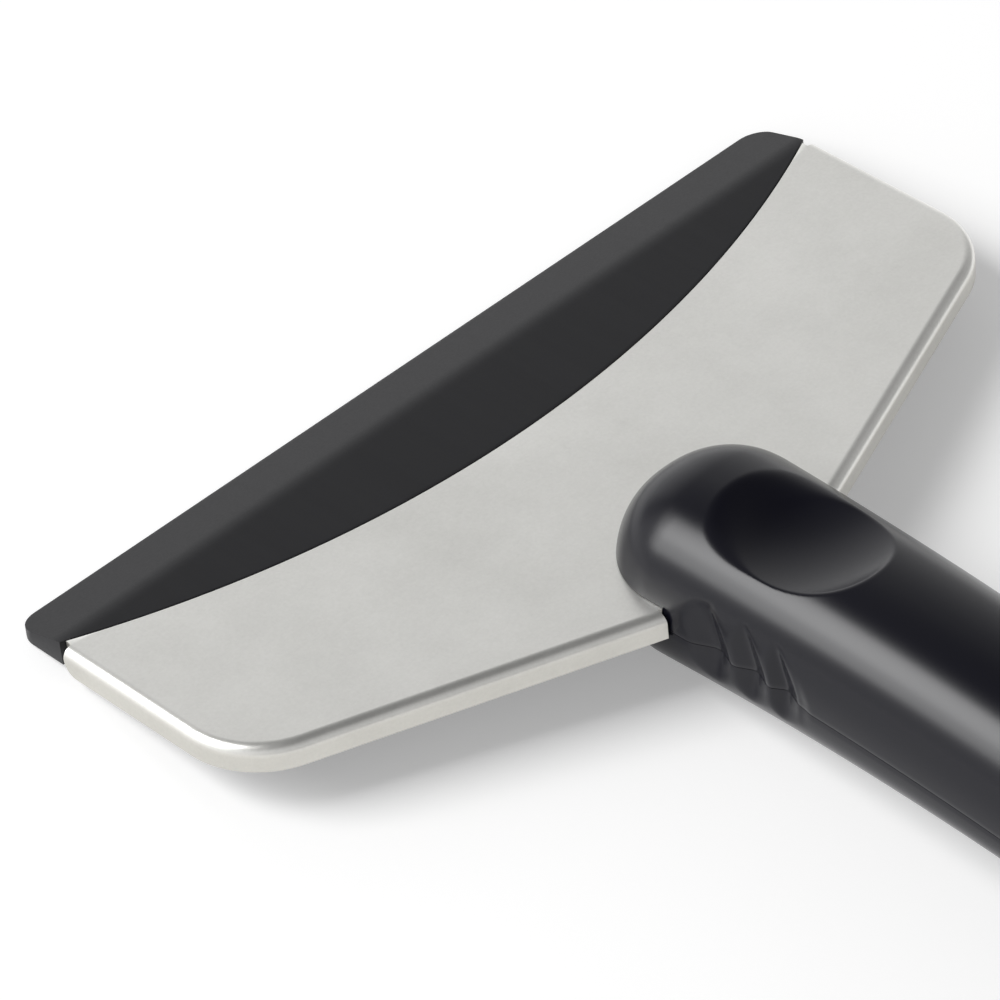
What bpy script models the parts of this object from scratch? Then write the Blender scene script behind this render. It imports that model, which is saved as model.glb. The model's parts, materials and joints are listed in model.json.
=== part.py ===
"""Windshield ice scraper: a black blade plate under a stainless steel cover, clamped in a two-shell handle.

Tool frame while modelling: X across the blade, +Y towards the blade edge, +Z up from the cover's flat top,
z = 0 on that flat top. At the end the whole tool is laid on a table: blade edge and handle touch z = 0.
Units are metres.
"""

import math

import bmesh
import bpy
from mathutils import Matrix, Vector

MM = 0.001

# Gaps between neighbouring pieces
SEAM = 0.2 * MM  # between the two handle shells, and round the cover's front arc
CLEAR = 0.3 * MM  # between stacked pieces

# Head: steel cover and blade plate
FLAT_HALF_WIDTH = 54.8 * MM
BEND_RADIUS = 1.24 * MM  # outside radius of the cover's rolled rim
HEAD_THICKNESS = 3.09 * MM
SHEET = 0.8 * MM
BEND_STEPS = 5
REAR_CORNER_Y = -11.65 * MM  # where the side and the swept rear edge would meet
REAR_SWEEP = math.radians(21.3)
CORNER_RADIUS = 9.4 * MM
RIM_FRONT_Y = 13.97 * MM
RIM_INNER_X = 12.2 * MM  # the rim stops here, just outside the handle
ARC_CENTRE_Y = 133.86 * MM  # concave front edge of the cover
ARC_RADIUS = 131.09 * MM
TONGUE_HALF_WIDTH = 6.5 * MM
TONGUE_END_Y = -46.0 * MM

# Blade
BLADE_HALF_WIDTH = 55.35 * MM
BLADE_EDGE_Y = 22.63 * MM
BEVEL_START_Y = 15.34 * MM
EDGE_THICKNESS = 1.06 * MM
BLADE_CORNER_RADIUS = 2.7 * MM
BEVEL_CUTTER = (130.0 * MM, 30.0 * MM, 20.0 * MM)  # size of the block that planes the bevel

# Handle envelope
HALF_WIDTH = 11.93 * MM  # at the full-width station behind the nose
PARTING_Z = -2.0 * MM  # height of the seam between the shells at the head
NOSE_Y = -15.0 * MM
NOSE_LENGTH = 10.9 * MM  # over which the nose narrows to its round front
NOSE_EXPONENT = 1.92
BUTT_Y = -177.0 * MM
BUTT_LENGTH = 13.0 * MM
WIDTH_TAPER = 0.0216  # half width lost per length behind the nose
WIDTH_SWELL = 2.9 * MM  # half width regained towards the butt
CREST_HEIGHT = 10.67 * MM  # top of the handle above the seam, at the nose
GRIP_TOP_HEIGHT = 10.31 * MM  # the same, further back
CREST_FADE = 10.9 * MM
TOP_NOSE_RISE = 9.6 * MM  # length over which the top rises from the nose
BELLY_HEIGHT = 8.9 * MM  # bottom of the handle below the seam, at the head
BELLY_NOSE_RISE = 13.0 * MM
BELLY_NOSE_EXPONENT = 2.3
BELLY_TAPER = 0.0397
BELLY_SWELL = 6.0 * MM
SWELL_START_Y = -76.0 * MM  # the slimmest stretch is just behind here
BEND_START_Y = -31.0 * MM  # behind here the handle curves down
BEND_CURVATURE = 2.95  # per metre
BEND_SLOPE_MAX = 0.25
TOP_EXPONENT = 2.22
BELLY_EXPONENT = 2.8
WALL = 2.2 * MM
FRONT_POCKET_Y = (-31.0 * MM, -51.0 * MM)  # hollow round the head's tongue
FRONT_POCKET_HALF_WIDTH = 7.8 * MM
FRONT_POCKET_ROOF = 5.2 * MM  # above the seam, under the thumb rest
FRONT_POCKET_FLOOR = 6.6 * MM  # below the seam
REAR_POCKET_Y = (-53.5 * MM, -170.0 * MM)
STATIONS = 40
SECTION_STEPS = 24
POCKET_STEPS = 12

# Thumb rest and finger grips
THUMB_Y = -36.65 * MM
THUMB_HALF_WIDTH = 7.3 * MM
THUMB_HALF_LENGTH = 11.15 * MM
THUMB_DEPTH = 3.0 * MM
THUMB_RADIUS = 7.0 * MM  # of the dish in the upright plane
GRIP_TROUGHS = ((-36.4 * MM, 1.1 * MM), (-41.1 * MM, 1.0 * MM), (-45.3 * MM, 0.75 * MM))  # y, depth
GRIP_START_Y = -33.0 * MM  # where the first trough begins at the seam
GRIP_RAKE = 4.5 * MM  # how much further forward it begins at the top of the grips
GRIP_LEAN = 1.2 * MM  # how far each trough leans forward at the top of the grips
GRIP_EXIT = 1.8 * MM  # the steep wall behind each trough
GRIP_REST = 0.1 * MM  # depth that stays between two troughs
GRIP_RUN_OUT = 3.0 * MM  # length of the ramp behind the last trough
GRIP_RAMP_STEPS = 5
GRIP_CUTTER_X = HALF_WIDTH + 4.0 * MM  # outer side of the block that cuts the grips
GRIP_LEVELS = ((-1.0, -9.5 * MM), (0.0, PARTING_Z), (1.0, 2.6 * MM), (1.6, 5.5 * MM))  # level and height

# Fasteners: self-tapping pan head screws from below
SCREW_SIDES = 16
SCREW_SHANK_RADIUS = 1.35 * MM
SCREW_CORE_RADIUS = 1.0 * MM
SCREW_PITCH = 1.2 * MM
SCREW_HEAD_RADIUS = 2.7 * MM
SCREW_HEAD_HEIGHT = 1.7 * MM
SCREW_HEAD_CURVE = ((0.72, 0.0), (0.95, 0.28), (1.0, 0.65), (1.0, 1.0))  # shares of its radius and height
SCREW_HOLE_RADIUS = 1.65 * MM
COUNTERBORE_RADIUS = 3.1 * MM
CUT_THROUGH = 6.0 * MM  # how far a cutter reaches past the surface that it opens
TOWER_WALL = 1.3 * MM
SEAT_THICKNESS = 1.8 * MM
TONGUE_BOSS_TOP = 4.3 * MM  # height above the cover of the boss over the tongue
HEAD_SCREW_TIP = 3.4 * MM  # height above the cover that the head screws reach
PILOT_SPARE = 0.5 * MM  # length of pilot hole beyond a screw's tip
BOSS_ROOF = 2.1 * MM  # material between a handle screw's tip and the boss's end
SCREW_PLAIN = 1.6 * MM  # unthreaded length at both ends of the shank
SCREW_POINT = 1.2 * MM
THREAD_FLANK = 0.25 * MM
RECESS = (2.8 * MM, 0.6 * MM, 1.8 * MM)  # one bar of the cross recess: length, width, twice its depth
HEAD_SCREWS_Y = (-24.0 * MM, -39.0 * MM)
HANDLE_SCREWS_Y = (-70.0 * MM, -112.0 * MM, -156.0 * MM)


# ---------------------------------------------------------------- scene helpers


def clear_scene():
    for old in list(bpy.data.objects):
        bpy.data.objects.remove(old, do_unlink=True)


def collection(name):
    made = bpy.data.collections.new(name)
    bpy.context.scene.collection.children.link(made)
    return made


def material(name, colour, roughness, metallic):
    made = bpy.data.materials.new(name)
    made.use_nodes = True
    shader = made.node_tree.nodes["Principled BSDF"]
    shader.inputs["Base Color"].default_value = (*colour, 1.0)
    shader.inputs["Roughness"].default_value = roughness
    shader.inputs["Metallic"].default_value = metallic
    return made


def add(name, bm, group, mat=None, smooth_below=40.0):
    """Turns a bmesh into an object of this name in a collection."""
    bmesh.ops.recalc_face_normals(bm, faces=bm.faces[:])
    mesh = bpy.data.meshes.new(name)
    bm.to_mesh(mesh)
    bm.free()
    mesh.shade_smooth()
    mesh.set_sharp_from_angle(angle=math.radians(smooth_below))
    made = bpy.data.objects.new(name, mesh)
    group.objects.link(made)
    if mat:
        mesh.materials.append(mat)
    return made


def cutter(name, bm):
    made = add(name, bm, CUTTERS)
    made.hide_render = True
    made.display_type = "WIRE"
    return made


def boolean(target, other, operation="DIFFERENCE"):
    step = target.modifiers.new(f"{operation.lower()}_{other.name}", "BOOLEAN")
    step.operation = operation
    step.solver = "EXACT"
    step.object = other


def prism(outline, z_low, z_high):
    """A closed prism over an outline of (x, y) points."""
    bm = bmesh.new()
    base = bm.faces.new([bm.verts.new((x, y, z_low)) for x, y in outline])
    grown = bmesh.ops.extrude_face_region(bm, geom=[base])
    raised = [item for item in grown["geom"] if isinstance(item, bmesh.types.BMVert)]
    bmesh.ops.translate(bm, verts=raised, vec=(0.0, 0.0, z_high - z_low))
    return bm


def loft(rings):
    """A closed body through rings of equal length. An end ring may be a single point."""
    bm = bmesh.new()
    rows = [[bm.verts.new(point) for point in ring] for ring in rings]
    for first, second in zip(rows, rows[1:]):
        count = max(len(first), len(second))
        for i in range(count):
            j = (i + 1) % count
            corners = [first[i % len(first)], first[j % len(first)]]
            corners += [second[j % len(second)], second[i % len(second)]]
            bm.faces.new(list(dict.fromkeys(corners)))
    for end in (rows[0], rows[-1]):
        if len(end) > 2:
            bm.faces.new(end)
    return bm


def rod(radius, z_low, z_high, place, segments=24):
    """A cylinder along the local Z of a placement matrix."""
    bm = bmesh.new()
    middle = place @ Matrix.Translation((0.0, 0.0, 0.5 * (z_low + z_high)))
    sizes = {"radius1": radius, "radius2": radius, "depth": z_high - z_low}
    bmesh.ops.create_cone(bm, cap_ends=True, segments=segments, matrix=middle, **sizes)
    return bm


# ---------------------------------------------------------------- head outline


def fan(centre, radius, start, stop, steps):
    """Points on an arc, angles in radians."""
    angles = [start + (stop - start) * i / steps for i in range(steps + 1)]
    return [(centre[0] + radius * math.cos(a), centre[1] + radius * math.sin(a)) for a in angles]


def rear_edge_y(x, grow=0.0):
    """The swept rear edge of the head at x, moved outwards by grow."""
    return REAR_CORNER_Y - (FLAT_HALF_WIDTH - x) * math.tan(REAR_SWEEP) - grow / math.cos(REAR_SWEEP)


def side_chain(front_y, inner_x, grow=0.0, steps=10):
    """The right side of the head from front_y, round the rear corner, to inner_x on the swept edge."""
    drop = CORNER_RADIUS * (1.0 - math.sin(REAR_SWEEP)) / math.cos(REAR_SWEEP)
    centre = (FLAT_HALF_WIDTH - CORNER_RADIUS, REAR_CORNER_Y + drop)
    corner = fan(centre, CORNER_RADIUS + grow, 0.0, REAR_SWEEP - math.pi / 2, steps)
    return [(FLAT_HALF_WIDTH + grow, front_y), *corner, (inner_x, rear_edge_y(inner_x, grow))]


def tongue_chain(grow=0.0):
    half = TONGUE_HALF_WIDTH + grow
    return [(half, rear_edge_y(half, grow)), (half, TONGUE_END_Y - grow)]


def mirrored(chain):
    """The chain, then its mirror image in reverse."""
    return chain + [(-x, y) for x, y in reversed(chain)]


def arc_y(x, radius=ARC_RADIUS):
    return ARC_CENTRE_Y - math.sqrt(radius**2 - x**2)


def front_arc(half_width, radius, steps=28):
    """Points of the concave front edge from -half_width to half_width."""
    xs = [-half_width + 2.0 * half_width * i / steps for i in range(steps + 1)]
    return [(x, arc_y(x, radius)) for x in xs]


# ---------------------------------------------------------------- handle envelope


def seam_z(y):
    """Height of the seam between the shells: level at the head, an arc, then a straight slope down."""
    back = max(0.0, BEND_START_Y - y)
    arc_length = BEND_SLOPE_MAX / BEND_CURVATURE
    bent = min(back, arc_length)
    return PARTING_Z - 0.5 * BEND_CURVATURE * bent**2 - BEND_SLOPE_MAX * (back - bent)


def seam_slope(y):
    return min(BEND_SLOPE_MAX, BEND_CURVATURE * max(0.0, BEND_START_Y - y))


def round_end(distance, length, power=2.0):
    """1 along a body, falling to 0 at its end like a quarter of a superellipse."""
    if distance >= length:
        return 1.0
    return (1.0 - (1.0 - max(0.0, distance) / length) ** power) ** (1.0 / power)


def behind_nose(y):
    """Distance back from the station where the nose reaches its full width."""
    return max(0.0, NOSE_Y - NOSE_LENGTH - y)


def swell(y):
    """0 up to the slim stretch, rising smoothly to 1 at the butt."""
    share = max(0.0, SWELL_START_Y - y) / (SWELL_START_Y - BUTT_Y)
    return 0.5 * (1.0 - math.cos(math.pi * share))


def half_width(y):
    width = HALF_WIDTH - WIDTH_TAPER * behind_nose(y) + WIDTH_SWELL * swell(y)
    return width * round_end(NOSE_Y - y, NOSE_LENGTH, NOSE_EXPONENT) * round_end(y - BUTT_Y, BUTT_LENGTH)


def top_height(y):
    behind = max(0.0, NOSE_Y - TOP_NOSE_RISE - y)
    crest = GRIP_TOP_HEIGHT + (CREST_HEIGHT - GRIP_TOP_HEIGHT) * math.exp(-((behind / CREST_FADE) ** 2))
    return crest * round_end(NOSE_Y - y, TOP_NOSE_RISE) * round_end(y - BUTT_Y, BUTT_LENGTH)


def belly_height(y):
    depth = BELLY_HEIGHT - BELLY_TAPER * behind_nose(y) + BELLY_SWELL * swell(y)
    front = round_end(NOSE_Y - y, BELLY_NOSE_RISE, BELLY_NOSE_EXPONENT)
    return depth * front * round_end(y - BUTT_Y, BUTT_LENGTH)


def arch(y, width, height, exponent, side, base, steps):
    """Half a superellipse across the handle at y. side is 1 for the top and -1 for the belly."""
    points = []
    for i in range(steps + 1):
        angle = math.pi * i / steps
        across = math.copysign(abs(math.cos(angle)) ** (2.0 / exponent), math.cos(angle)) * width
        rise = math.sin(angle) ** (2.0 / exponent) * height if 0 < i < steps else 0.0
        points.append((across, y, base + side * rise))
    return points


def stations(y_start, y_stop, count):
    """Places along the handle, closer together at both ends."""
    places = []
    for i in range(1, count):
        share = 0.5 * (1.0 - math.cos(math.pi * i / count))
        places.append(y_start + (y_stop - y_start) * share)
    return places


def half_handle(side):
    """The solid upper or lower half of the handle, before it is hollowed."""
    height, exponent = (top_height, TOP_EXPONENT) if side > 0 else (belly_height, BELLY_EXPONENT)
    base = [seam_z(NOSE_Y) + side * SEAM / 2, seam_z(BUTT_Y) + side * SEAM / 2]
    rings = [[(0.0, NOSE_Y, base[0])]]
    for y in stations(NOSE_Y, BUTT_Y, STATIONS):
        z = seam_z(y) + side * SEAM / 2
        rings.append(arch(y, half_width(y), height(y), exponent, side, z, SECTION_STEPS))
    rings.append([(0.0, BUTT_Y, base[1])])
    return loft(rings)


def cavity(side, y_start, y_stop, count, width_limit, roof):
    """A hollow inside one half, open at the seam. roof(y) is its depth from the seam."""
    exponent = TOP_EXPONENT if side > 0 else BELLY_EXPONENT
    rings = []
    for i in range(count + 1):
        y = y_start + (y_stop - y_start) * i / count
        z = seam_z(y) - side * WALL
        width = min(width_limit, half_width(y) - WALL)
        ring = arch(y, width, roof(y), exponent, side, z + side * WALL, POCKET_STEPS)
        ring += [(-width, y, z), (width, y, z)]
        rings.append(ring)
    return loft(rings)


def station_frame(y):
    """A placement on the seam at y whose local Z stands square to the seam."""
    turn = Matrix.Rotation(math.atan(seam_slope(y)), 4, "X")
    return Matrix.Translation((0.0, y, seam_z(y))) @ turn


# ---------------------------------------------------------------- finger grips


def grip_floor(level):
    """The recess floor (x, y) at one height. level 1 is the top of the grips, 0 the seam, -1 the belly."""
    raised = max(0.0, level)
    points = []
    entry_y = GRIP_START_Y + GRIP_RAKE * raised
    entry_depth = 0.0
    for trough_y, depth in GRIP_TROUGHS:
        bottom = trough_y + GRIP_LEAN * raised
        for i in range(GRIP_RAMP_STEPS):
            share = i / GRIP_RAMP_STEPS
            y = entry_y + (bottom - entry_y) * share
            eased = 0.5 * (1.0 - math.cos(math.pi * share))
            points.append((half_width(y) - entry_depth - (depth - entry_depth) * eased, y))
        middle = bottom - 0.5 * GRIP_EXIT
        points.append((half_width(bottom) - depth, bottom))
        points.append((half_width(middle) - 0.5 * (depth + GRIP_REST), middle))
        entry_y = bottom - GRIP_EXIT
        entry_depth = GRIP_REST
    points.append((half_width(entry_y) - GRIP_REST, entry_y))
    points.append((half_width(entry_y) + GRIP_REST, entry_y - GRIP_RUN_OUT))
    return points


def grip_cutter(side):
    rings = []
    for level, z in GRIP_LEVELS:
        floor = grip_floor(level)
        ring = [(GRIP_CUTTER_X, floor[0][1]), *floor, (GRIP_CUTTER_X, floor[-1][1])]
        rings.append([(side * x, y, z) for x, y in ring])
    return loft(rings)


# ---------------------------------------------------------------- parts


def steel_cover():
    """Stainless sheet with a rolled rim along both sides and both swept rear edges, and a tongue."""
    bm = bmesh.new()
    chains = []
    for side in (1, -1):
        chain = [(side * x, y) for x, y in side_chain(RIM_FRONT_Y, RIM_INNER_X)]
        chains.append([bm.verts.new((x, y, 0.0)) for x, y in chain])
    right, left = chains
    arc = [bm.verts.new((x, y, 0.0)) for x, y in front_arc(FLAT_HALF_WIDTH, ARC_RADIUS)]
    tongue = [bm.verts.new((x, y, 0.0)) for x, y in mirrored(tongue_chain())]
    bm.faces.new(right + tongue + left[::-1] + arc)
    for side, chain in ((1, right), (-1, left)):
        rows = [chain]
        for bend in range(1, BEND_STEPS + 1):
            angle = 0.5 * math.pi * bend / BEND_STEPS
            out = BEND_RADIUS * math.sin(angle)
            down = BEND_RADIUS * (1.0 - math.cos(angle))
            grown = side_chain(RIM_FRONT_Y, RIM_INNER_X, out)
            rows.append([bm.verts.new((side * x, y, -down)) for x, y in grown])
        foot = side_chain(RIM_FRONT_Y, RIM_INNER_X, BEND_RADIUS)
        rows.append([bm.verts.new((side * x, y, -HEAD_THICKNESS)) for x, y in foot])
        for upper, lower in zip(rows, rows[1:]):
            for i in range(len(upper) - 1):
                bm.faces.new((upper[i], upper[i + 1], lower[i + 1], lower[i]))
    bmesh.ops.triangulate(bm, faces=[max(bm.faces, key=lambda face: len(face.verts))])
    made = add("steel_cover", bm, PARTS, STEEL, 30.0)
    skin = made.modifiers.new("sheet", "SOLIDIFY")
    skin.thickness = SHEET
    skin.offset = -1.0
    skin.use_even_offset = True
    for hole in HEAD_HOLES:
        boolean(made, hole)
    return made


def blade_plate():
    """Black plate under the cover, with the full-thickness bevelled scraping blade in front of it."""
    inset = BEND_RADIUS - SHEET - CLEAR
    chain = side_chain(BEVEL_START_Y, TONGUE_HALF_WIDTH, inset) + tongue_chain()[1:]
    plate = prism(mirrored(chain), -HEAD_THICKNESS, -SHEET - CLEAR)
    made = add("blade_plate", plate, PARTS, BLACK_BLADE)

    corner_x = BLADE_HALF_WIDTH - BLADE_CORNER_RADIUS
    corner_y = BLADE_EDGE_Y - BLADE_CORNER_RADIUS
    front = fan((corner_x, corner_y), BLADE_CORNER_RADIUS, 0.0, math.pi / 2, 6)
    rear = front_arc(BLADE_HALF_WIDTH, ARC_RADIUS - SEAM)
    outline = rear + front + [(-x, y) for x, y in reversed(front)]
    blade = cutter("blade_block", prism(outline, -HEAD_THICKNESS, 0.0))

    slope = math.atan2(HEAD_THICKNESS - EDGE_THICKNESS, BLADE_EDGE_Y - BEVEL_START_Y)
    wedge = bmesh.new()
    size = Matrix.Diagonal((*BEVEL_CUTTER, 1.0))
    lift = Matrix.Translation((0.0, 0.5 * BEVEL_CUTTER[1], 0.5 * BEVEL_CUTTER[2]))
    place = Matrix.Translation((0.0, BEVEL_START_Y, 0.0)) @ Matrix.Rotation(-slope, 4, "X") @ lift
    bmesh.ops.create_cube(wedge, size=1.0, matrix=place @ size)
    boolean(blade, cutter("bevel_wedge", wedge))

    boolean(made, blade, "UNION")
    for hole in HEAD_HOLES:
        boolean(made, hole)
    return made


def thumb_dish():
    """Ellipsoid that hollows the thumb rest, sized so that its rim on the handle is the stated oval."""
    crown = seam_z(THUMB_Y) + top_height(THUMB_Y)
    centre = crown - THUMB_DEPTH + THUMB_RADIUS
    beside = (1.0 - (THUMB_HALF_WIDTH / half_width(THUMB_Y)) ** TOP_EXPONENT) ** (1.0 / TOP_EXPONENT)
    side_rim = seam_z(THUMB_Y) + top_height(THUMB_Y) * beside
    across = THUMB_HALF_WIDTH / math.sqrt(1.0 - ((centre - side_rim) / THUMB_RADIUS) ** 2)
    along = THUMB_HALF_LENGTH / math.sqrt(1.0 - ((centre - crown) / THUMB_RADIUS) ** 2)
    place = Matrix.Translation((0.0, THUMB_Y, centre)) @ Matrix.Diagonal((across, along, THUMB_RADIUS, 1.0))
    bm = bmesh.new()
    bmesh.ops.create_uvsphere(bm, u_segments=40, v_segments=32, radius=1.0, matrix=place)
    return bm


def head_holes():
    """Cutters for the two screw holes through the cover and the blade plate."""
    holes = []
    for number, y in enumerate(HEAD_SCREWS_Y, 1):
        place = Matrix.Translation((0.0, y, 0.0))
        holes.append(cutter(f"head_hole_{number}", rod(SCREW_HOLE_RADIUS, -CUT_THROUGH, CUT_THROUGH, place)))
    return holes


def head_slot():
    """The space the head takes up between the shells."""
    chain = side_chain(BLADE_EDGE_Y, TONGUE_HALF_WIDTH + CLEAR, CLEAR)
    outline = mirrored(chain + [(TONGUE_HALF_WIDTH + CLEAR, TONGUE_END_Y - CLEAR)])
    return prism(outline, -HEAD_THICKNESS - CLEAR, CLEAR)


def front_pocket(side):
    """The hollow round the head's tongue, short of the thumb rest and the finger grips."""
    roof = FRONT_POCKET_ROOF if side > 0 else FRONT_POCKET_FLOOR
    return cavity(side, *FRONT_POCKET_Y, 4, FRONT_POCKET_HALF_WIDTH, lambda y: roof)


def rear_pocket(side):
    height = top_height if side > 0 else belly_height
    return cavity(side, *REAR_POCKET_Y, 18, HALF_WIDTH - WALL, lambda y: height(y) - WALL)


def handle_shell(name, side, mat):
    made = add(name, half_handle(side), PARTS, mat, 50.0)
    label = "top" if side > 0 else "bottom"
    if side > 0:
        boolean(made, DISH)
    for grip in GRIPS:
        boolean(made, grip)
    boolean(made, cutter(f"front_pocket_{label}", front_pocket(side)))
    boolean(made, cutter(f"rear_pocket_{label}", rear_pocket(side)))
    boolean(made, SLOT)
    return made


def handle_top_shell():
    """Upper shell: a boss reaches down from its roof to each screw."""
    made = handle_shell("handle_top_shell", 1, BLACK_HANDLE)
    radius = SCREW_HOLE_RADIUS + TOWER_WALL
    for number, y in enumerate(HANDLE_SCREWS_Y, 1):
        frame = station_frame(y)
        boss = rod(radius, SEAM / 2, handle_screw_tip(y) + BOSS_ROOF, frame)
        pilot = rod(SCREW_HOLE_RADIUS, -WALL, handle_screw_tip(y) + PILOT_SPARE, frame)
        boolean(made, cutter(f"top_boss_{number}", boss), "UNION")
        boolean(made, cutter(f"pilot_{number}", pilot))
    rear_boss = Matrix.Translation((0.0, HEAD_SCREWS_Y[1], 0.0))
    boolean(made, cutter("tongue_boss", rod(radius, CLEAR, TONGUE_BOSS_TOP, rear_boss)), "UNION")
    for number, y in enumerate(HEAD_SCREWS_Y, 1):
        place = Matrix.Translation((0.0, y, 0.0))
        pilot = rod(SCREW_HOLE_RADIUS, -WALL, HEAD_SCREW_TIP + PILOT_SPARE, place)
        boolean(made, cutter(f"head_pilot_{number}", pilot))
    return made


def handle_bottom_shell():
    """Lower shell: a tower with a counterbore and a seat for each screw."""
    made = handle_shell("handle_bottom_shell", -1, BLACK_HANDLE)
    outer = COUNTERBORE_RADIUS + TOWER_WALL
    for number, (frame, seat, top, depth) in enumerate(SCREW_SEATS, 1):
        tower_low = -depth + 0.5 * WALL
        boolean(made, cutter(f"tower_{number}", rod(outer, tower_low, top, frame)), "UNION")
        bore = rod(COUNTERBORE_RADIUS, -depth - CUT_THROUGH, seat, frame, 32)
        boolean(made, cutter(f"counterbore_{number}", bore))
        boolean(made, cutter(f"clearance_{number}", rod(SCREW_HOLE_RADIUS, seat - WALL, top + WALL, frame)))
    return made


def handle_screw_tip(y):
    """Height of a handle screw's tip above the seam."""
    return top_height(y) - 0.5 * WALL - BOSS_ROOF


def screw_seats():
    """For each screw: placement, seat height, tower top and belly depth, in the placement's local Z."""
    seats = []
    for y in HEAD_SCREWS_Y:
        frame = Matrix.Translation((0.0, y, -HEAD_THICKNESS - CLEAR))
        depth = frame.translation.z - seam_z(y) + belly_height(y)
        seats.append((frame, -SEAT_THICKNESS, 0.0, depth))
    for y in HANDLE_SCREWS_Y:
        seats.append((station_frame(y), -SEAM / 2 - SEAT_THICKNESS, -SEAM / 2, belly_height(y)))
    return seats


def screw_profile(head_z, tip):
    """Half section (radius, z) of a pan head self-tapping screw, from the head's face to the tip."""
    low = head_z - SCREW_HEAD_HEIGHT
    profile = [(0.0, low)]
    profile += [(out * SCREW_HEAD_RADIUS, low + up * SCREW_HEAD_HEIGHT) for out, up in SCREW_HEAD_CURVE]
    profile += [(SCREW_CORE_RADIUS, head_z)]
    turns = int((tip - head_z - 2.0 * SCREW_PLAIN) / SCREW_PITCH) + 1
    for turn in range(turns):
        z = head_z + SCREW_PLAIN + turn * SCREW_PITCH
        profile += [(SCREW_CORE_RADIUS, z), (SCREW_SHANK_RADIUS, z + THREAD_FLANK)]
        profile += [(SCREW_CORE_RADIUS, z + 2.0 * THREAD_FLANK)]
    return profile + [(SCREW_CORE_RADIUS, tip - SCREW_POINT), (0.0, tip)]


def screw(name, frame, seat, tip):
    """A pan head self-tapping screw: a turned profile with a cross recess in its head."""
    head_z = seat - SEAM
    bm = bmesh.new()
    corners = [bm.verts.new((x, 0.0, z)) for x, z in reversed(screw_profile(head_z, tip))]
    for first, second in zip(corners, corners[1:]):
        bm.edges.new((first, second))
    mesh = bpy.data.meshes.new(name)
    bm.to_mesh(mesh)
    bm.free()
    mesh.materials.append(SCREW_STEEL)
    made = bpy.data.objects.new(name, mesh)
    PARTS.objects.link(made)
    made.matrix_world = frame
    turn = made.modifiers.new("turn", "SCREW")
    turn.axis = "Z"
    turn.steps = SCREW_SIDES
    turn.render_steps = SCREW_SIDES
    turn.use_merge_vertices = True
    turn.merge_threshold = 0.00002
    turn.use_smooth_shade = True
    for label, angle in (("a", 0.0), ("b", 90.0)):
        slot = bmesh.new()
        size = Matrix.Diagonal((*RECESS, 1.0))
        bmesh.ops.create_cube(slot, size=1.0, matrix=Matrix.Rotation(math.radians(angle), 4, "Z") @ size)
        tool = cutter(f"{name}_recess_{label}", slot)
        tool.matrix_world = frame @ Matrix.Translation((0.0, 0.0, head_z - SCREW_HEAD_HEIGHT))
        boolean(made, tool)


def screws():
    names = ["head_screw_front", "head_screw_rear"]
    names += ["handle_screw_front", "handle_screw_middle", "handle_screw_butt"]
    tips = [HEAD_SCREW_TIP + HEAD_THICKNESS + CLEAR] * len(HEAD_SCREWS_Y)
    tips += [handle_screw_tip(y) for y in HANDLE_SCREWS_Y]
    for name, (frame, seat, _, _), tip in zip(names, SCREW_SEATS, tips):
        screw(name, frame, seat, tip)


def lay_on_table():
    """Parents the tool to an empty that tips it until blade edge and handle both touch z = 0."""
    edge = Vector((0.0, BLADE_EDGE_Y, -HEAD_THICKNESS))
    places = [*stations(NOSE_Y, BUTT_Y, 400), BUTT_Y]
    belly = [Vector((0.0, y, seam_z(y) - SEAM / 2 - belly_height(y))) for y in places]
    lean = max(math.atan2(edge.z - low.z, edge.y - low.y) for low in belly)
    turn = Matrix.Rotation(-lean, 4, "X")
    front = (turn @ (edge + Vector((0.0, 0.0, EDGE_THICKNESS)))).y
    rear = (turn @ Vector((0.0, BUTT_Y, seam_z(BUTT_Y)))).y
    base = bpy.data.objects.new("ice_scraper", None)
    PARTS.objects.link(base)
    base.matrix_world = Matrix.Translation((0.0, -0.5 * (front + rear), -(turn @ edge).z)) @ turn
    for made in list(PARTS.objects) + list(CUTTERS.objects):
        if made is not base:
            made.parent = base


clear_scene()
PARTS = collection("ice_scraper")
CUTTERS = collection("cutters")
STEEL = material("brushed_stainless", (0.62, 0.61, 0.59), 0.32, 1.0)
BLACK_BLADE = material("black_blade_plastic", (0.02, 0.02, 0.022), 0.5, 0.0)
BLACK_HANDLE = material("black_handle_plastic", (0.018, 0.018, 0.02), 0.38, 0.0)
SCREW_STEEL = material("zinc_screw_steel", (0.55, 0.56, 0.58), 0.35, 1.0)
SCREW_SEATS = screw_seats()
HEAD_HOLES = head_holes()
DISH = cutter("thumb_dish", thumb_dish())
GRIPS = [cutter(f"grip_{name}", grip_cutter(side)) for name, side in (("right", 1), ("left", -1))]
SLOT = cutter("head_slot", head_slot())
steel_cover()
blade_plate()
handle_top_shell()
handle_bottom_shell()
screws()
lay_on_table()
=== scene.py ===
"""Looks of the windshield ice scraper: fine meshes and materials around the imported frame."""

import json
import math

import bmesh
import bpy
import numpy as np
from mathutils import Matrix, Vector

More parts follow.
